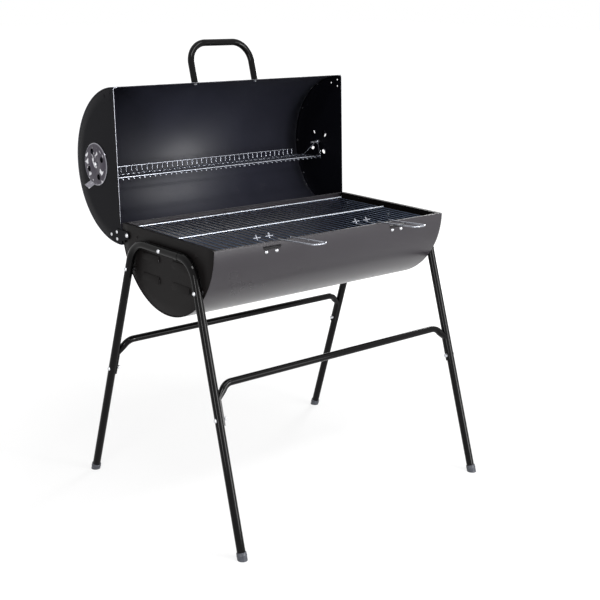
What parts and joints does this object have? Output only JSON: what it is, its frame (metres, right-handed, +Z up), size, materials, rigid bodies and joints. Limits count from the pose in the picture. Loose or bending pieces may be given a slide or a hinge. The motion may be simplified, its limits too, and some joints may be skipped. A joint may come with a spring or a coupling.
{
  "type": "barrel charcoal barbecue",
  "caption": "Half-drum charcoal barbecue on splayed tube legs, with hinged half-drum lid, chrome grill, warming rack and two vent dampers.",
  "frame": {"origin": "on the floor, under the middle of the whole outline with the lid open", "axes": "+X along the drum, towards its right end as seen from the front; +Y towards the hinge side; +Z up"},
  "size_m": [0.8762, 0.7963, 1.2201],
  "materials": {
    "drum_enamel": "satin heat-resistant black enamel, rolled sheet",
    "end_enamel": "satin heat-resistant black enamel, pressed sheet",
    "lid_enamel": "satin heat-resistant black enamel, rolled sheet",
    "lid_end_enamel": "satin heat-resistant black enamel, pressed sheet",
    "bracket_paint": "satin black paint on cut strip",
    "tube_paint": "gloss black powder coat on steel tube",
    "foot_plastic": "moulded dark grey polyethylene",
    "grate_steel": "plain drawn steel wire, dulled",
    "chrome_wire": "bright chrome-plated steel wire",
    "damper_chrome": "bright chrome-plated sheet",
    "rivet_steel": "grey steel rivets, partly painted",
    "bright_zinc": "bright zinc-plated steel"
  },
  "bodies": {
    "drum_and_stand": {"drum_sheet": "drum_enamel", "drum_end_left": "end_enamel", "drum_end_right": "end_enamel", "ledge_left": "end_enamel", "ledge_right": "end_enamel", "ledge_rivets": "end_enamel", "bracket_left": "bracket_paint", "bracket_right": "bracket_paint", "bracket_bolts": "bright_zinc", "bracket_nuts": "bright_zinc", "leg_front_left": "tube_paint", "leg_front_right": "tube_paint", "leg_rear_left": "tube_paint", "leg_rear_right": "tube_paint", "leg_washers": "bright_zinc", "leg_bolts": "bright_zinc", "leg_nuts": "bright_zinc", "brace_front": "tube_paint", "brace_rear": "tube_paint", "brace_bolts": "bright_zinc", "brace_nuts": "bright_zinc", "foot_front_left": "foot_plastic", "foot_front_right": "foot_plastic", "foot_rear_left": "foot_plastic", "foot_rear_right": "foot_plastic", "hinge_bolts": "bright_zinc", "hinge_washers": "bright_zinc", "hinge_nuts": "bright_zinc"},
    "lid": {"lid_sheet": "lid_enamel", "lid_end_left": "lid_end_enamel", "lid_end_right": "lid_end_enamel", "lid_seam_rivets": "rivet_steel", "hinge_plate_left": "bracket_paint", "hinge_plate_right": "bracket_paint", "hinge_rivets": "bright_zinc", "lid_handle": "tube_paint", "handle_screws": "bright_zinc", "rack_pins": "bright_zinc", "rack_pin_nuts": "bright_zinc", "damper_washers": "bright_zinc"},
    "warming_rack": {"rack_deck": "chrome_wire", "rack_arm_left": "chrome_wire", "rack_arm_right": "chrome_wire"},
    "damper_left": {"damper_left": "damper_chrome"},
    "damper_right": {"damper_right": "damper_chrome"},
    "grill": {"cooking_grill": "chrome_wire", "grill_handle_left": "chrome_wire", "grill_handle_right": "chrome_wire"},
    "charcoal_grate_left": {"charcoal_grate_left": "grate_steel"},
    "charcoal_grate_right": {"charcoal_grate_right": "grate_steel"}
  },
  "joints": [
    {"name": "lid_hinge", "type": "hinge", "parent": "drum_and_stand", "child": "lid", "pos_m": [0, 0.14708, 0.7235], "axis": [-1, 0, 0], "range_deg": [-92.4, 0]},
    {"name": "rack_swing", "type": "hinge", "parent": "lid", "child": "warming_rack", "pos_m": [0, 0.29666, 0.8954], "axis": [-1, 0, 0], "range_deg": [0, 92.4]},
    {"name": "damper_left_turn", "type": "hinge", "parent": "lid", "child": "damper_left", "pos_m": [-0.4026, 0.29666, 0.8954], "axis": [-1, 0, 0], "range_deg": [-22.5, 22.5]},
    {"name": "damper_right_turn", "type": "hinge", "parent": "lid", "child": "damper_right", "pos_m": [0.4026, 0.29666, 0.8954], "axis": [1, 0, 0], "range_deg": [-15, 30]},
    {"name": "grill_lift", "type": "slide", "parent": "drum_and_stand", "child": "grill", "axis": [0, 0, 1], "range_m": [0, 0.15]},
    {"name": "charcoal_grate_left_lift", "type": "slide", "parent": "drum_and_stand", "child": "charcoal_grate_left", "axis": [0, 0, 1], "range_m": [0, 0.08]},
    {"name": "charcoal_grate_right_lift", "type": "slide", "parent": "drum_and_stand", "child": "charcoal_grate_right", "axis": [0, 0, 1], "range_m": [0, 0.08]}
  ],
  "couplings": [
    {"joint": "rack_swing", "follows": "lid_hinge", "ratio": -1}
  ]
}
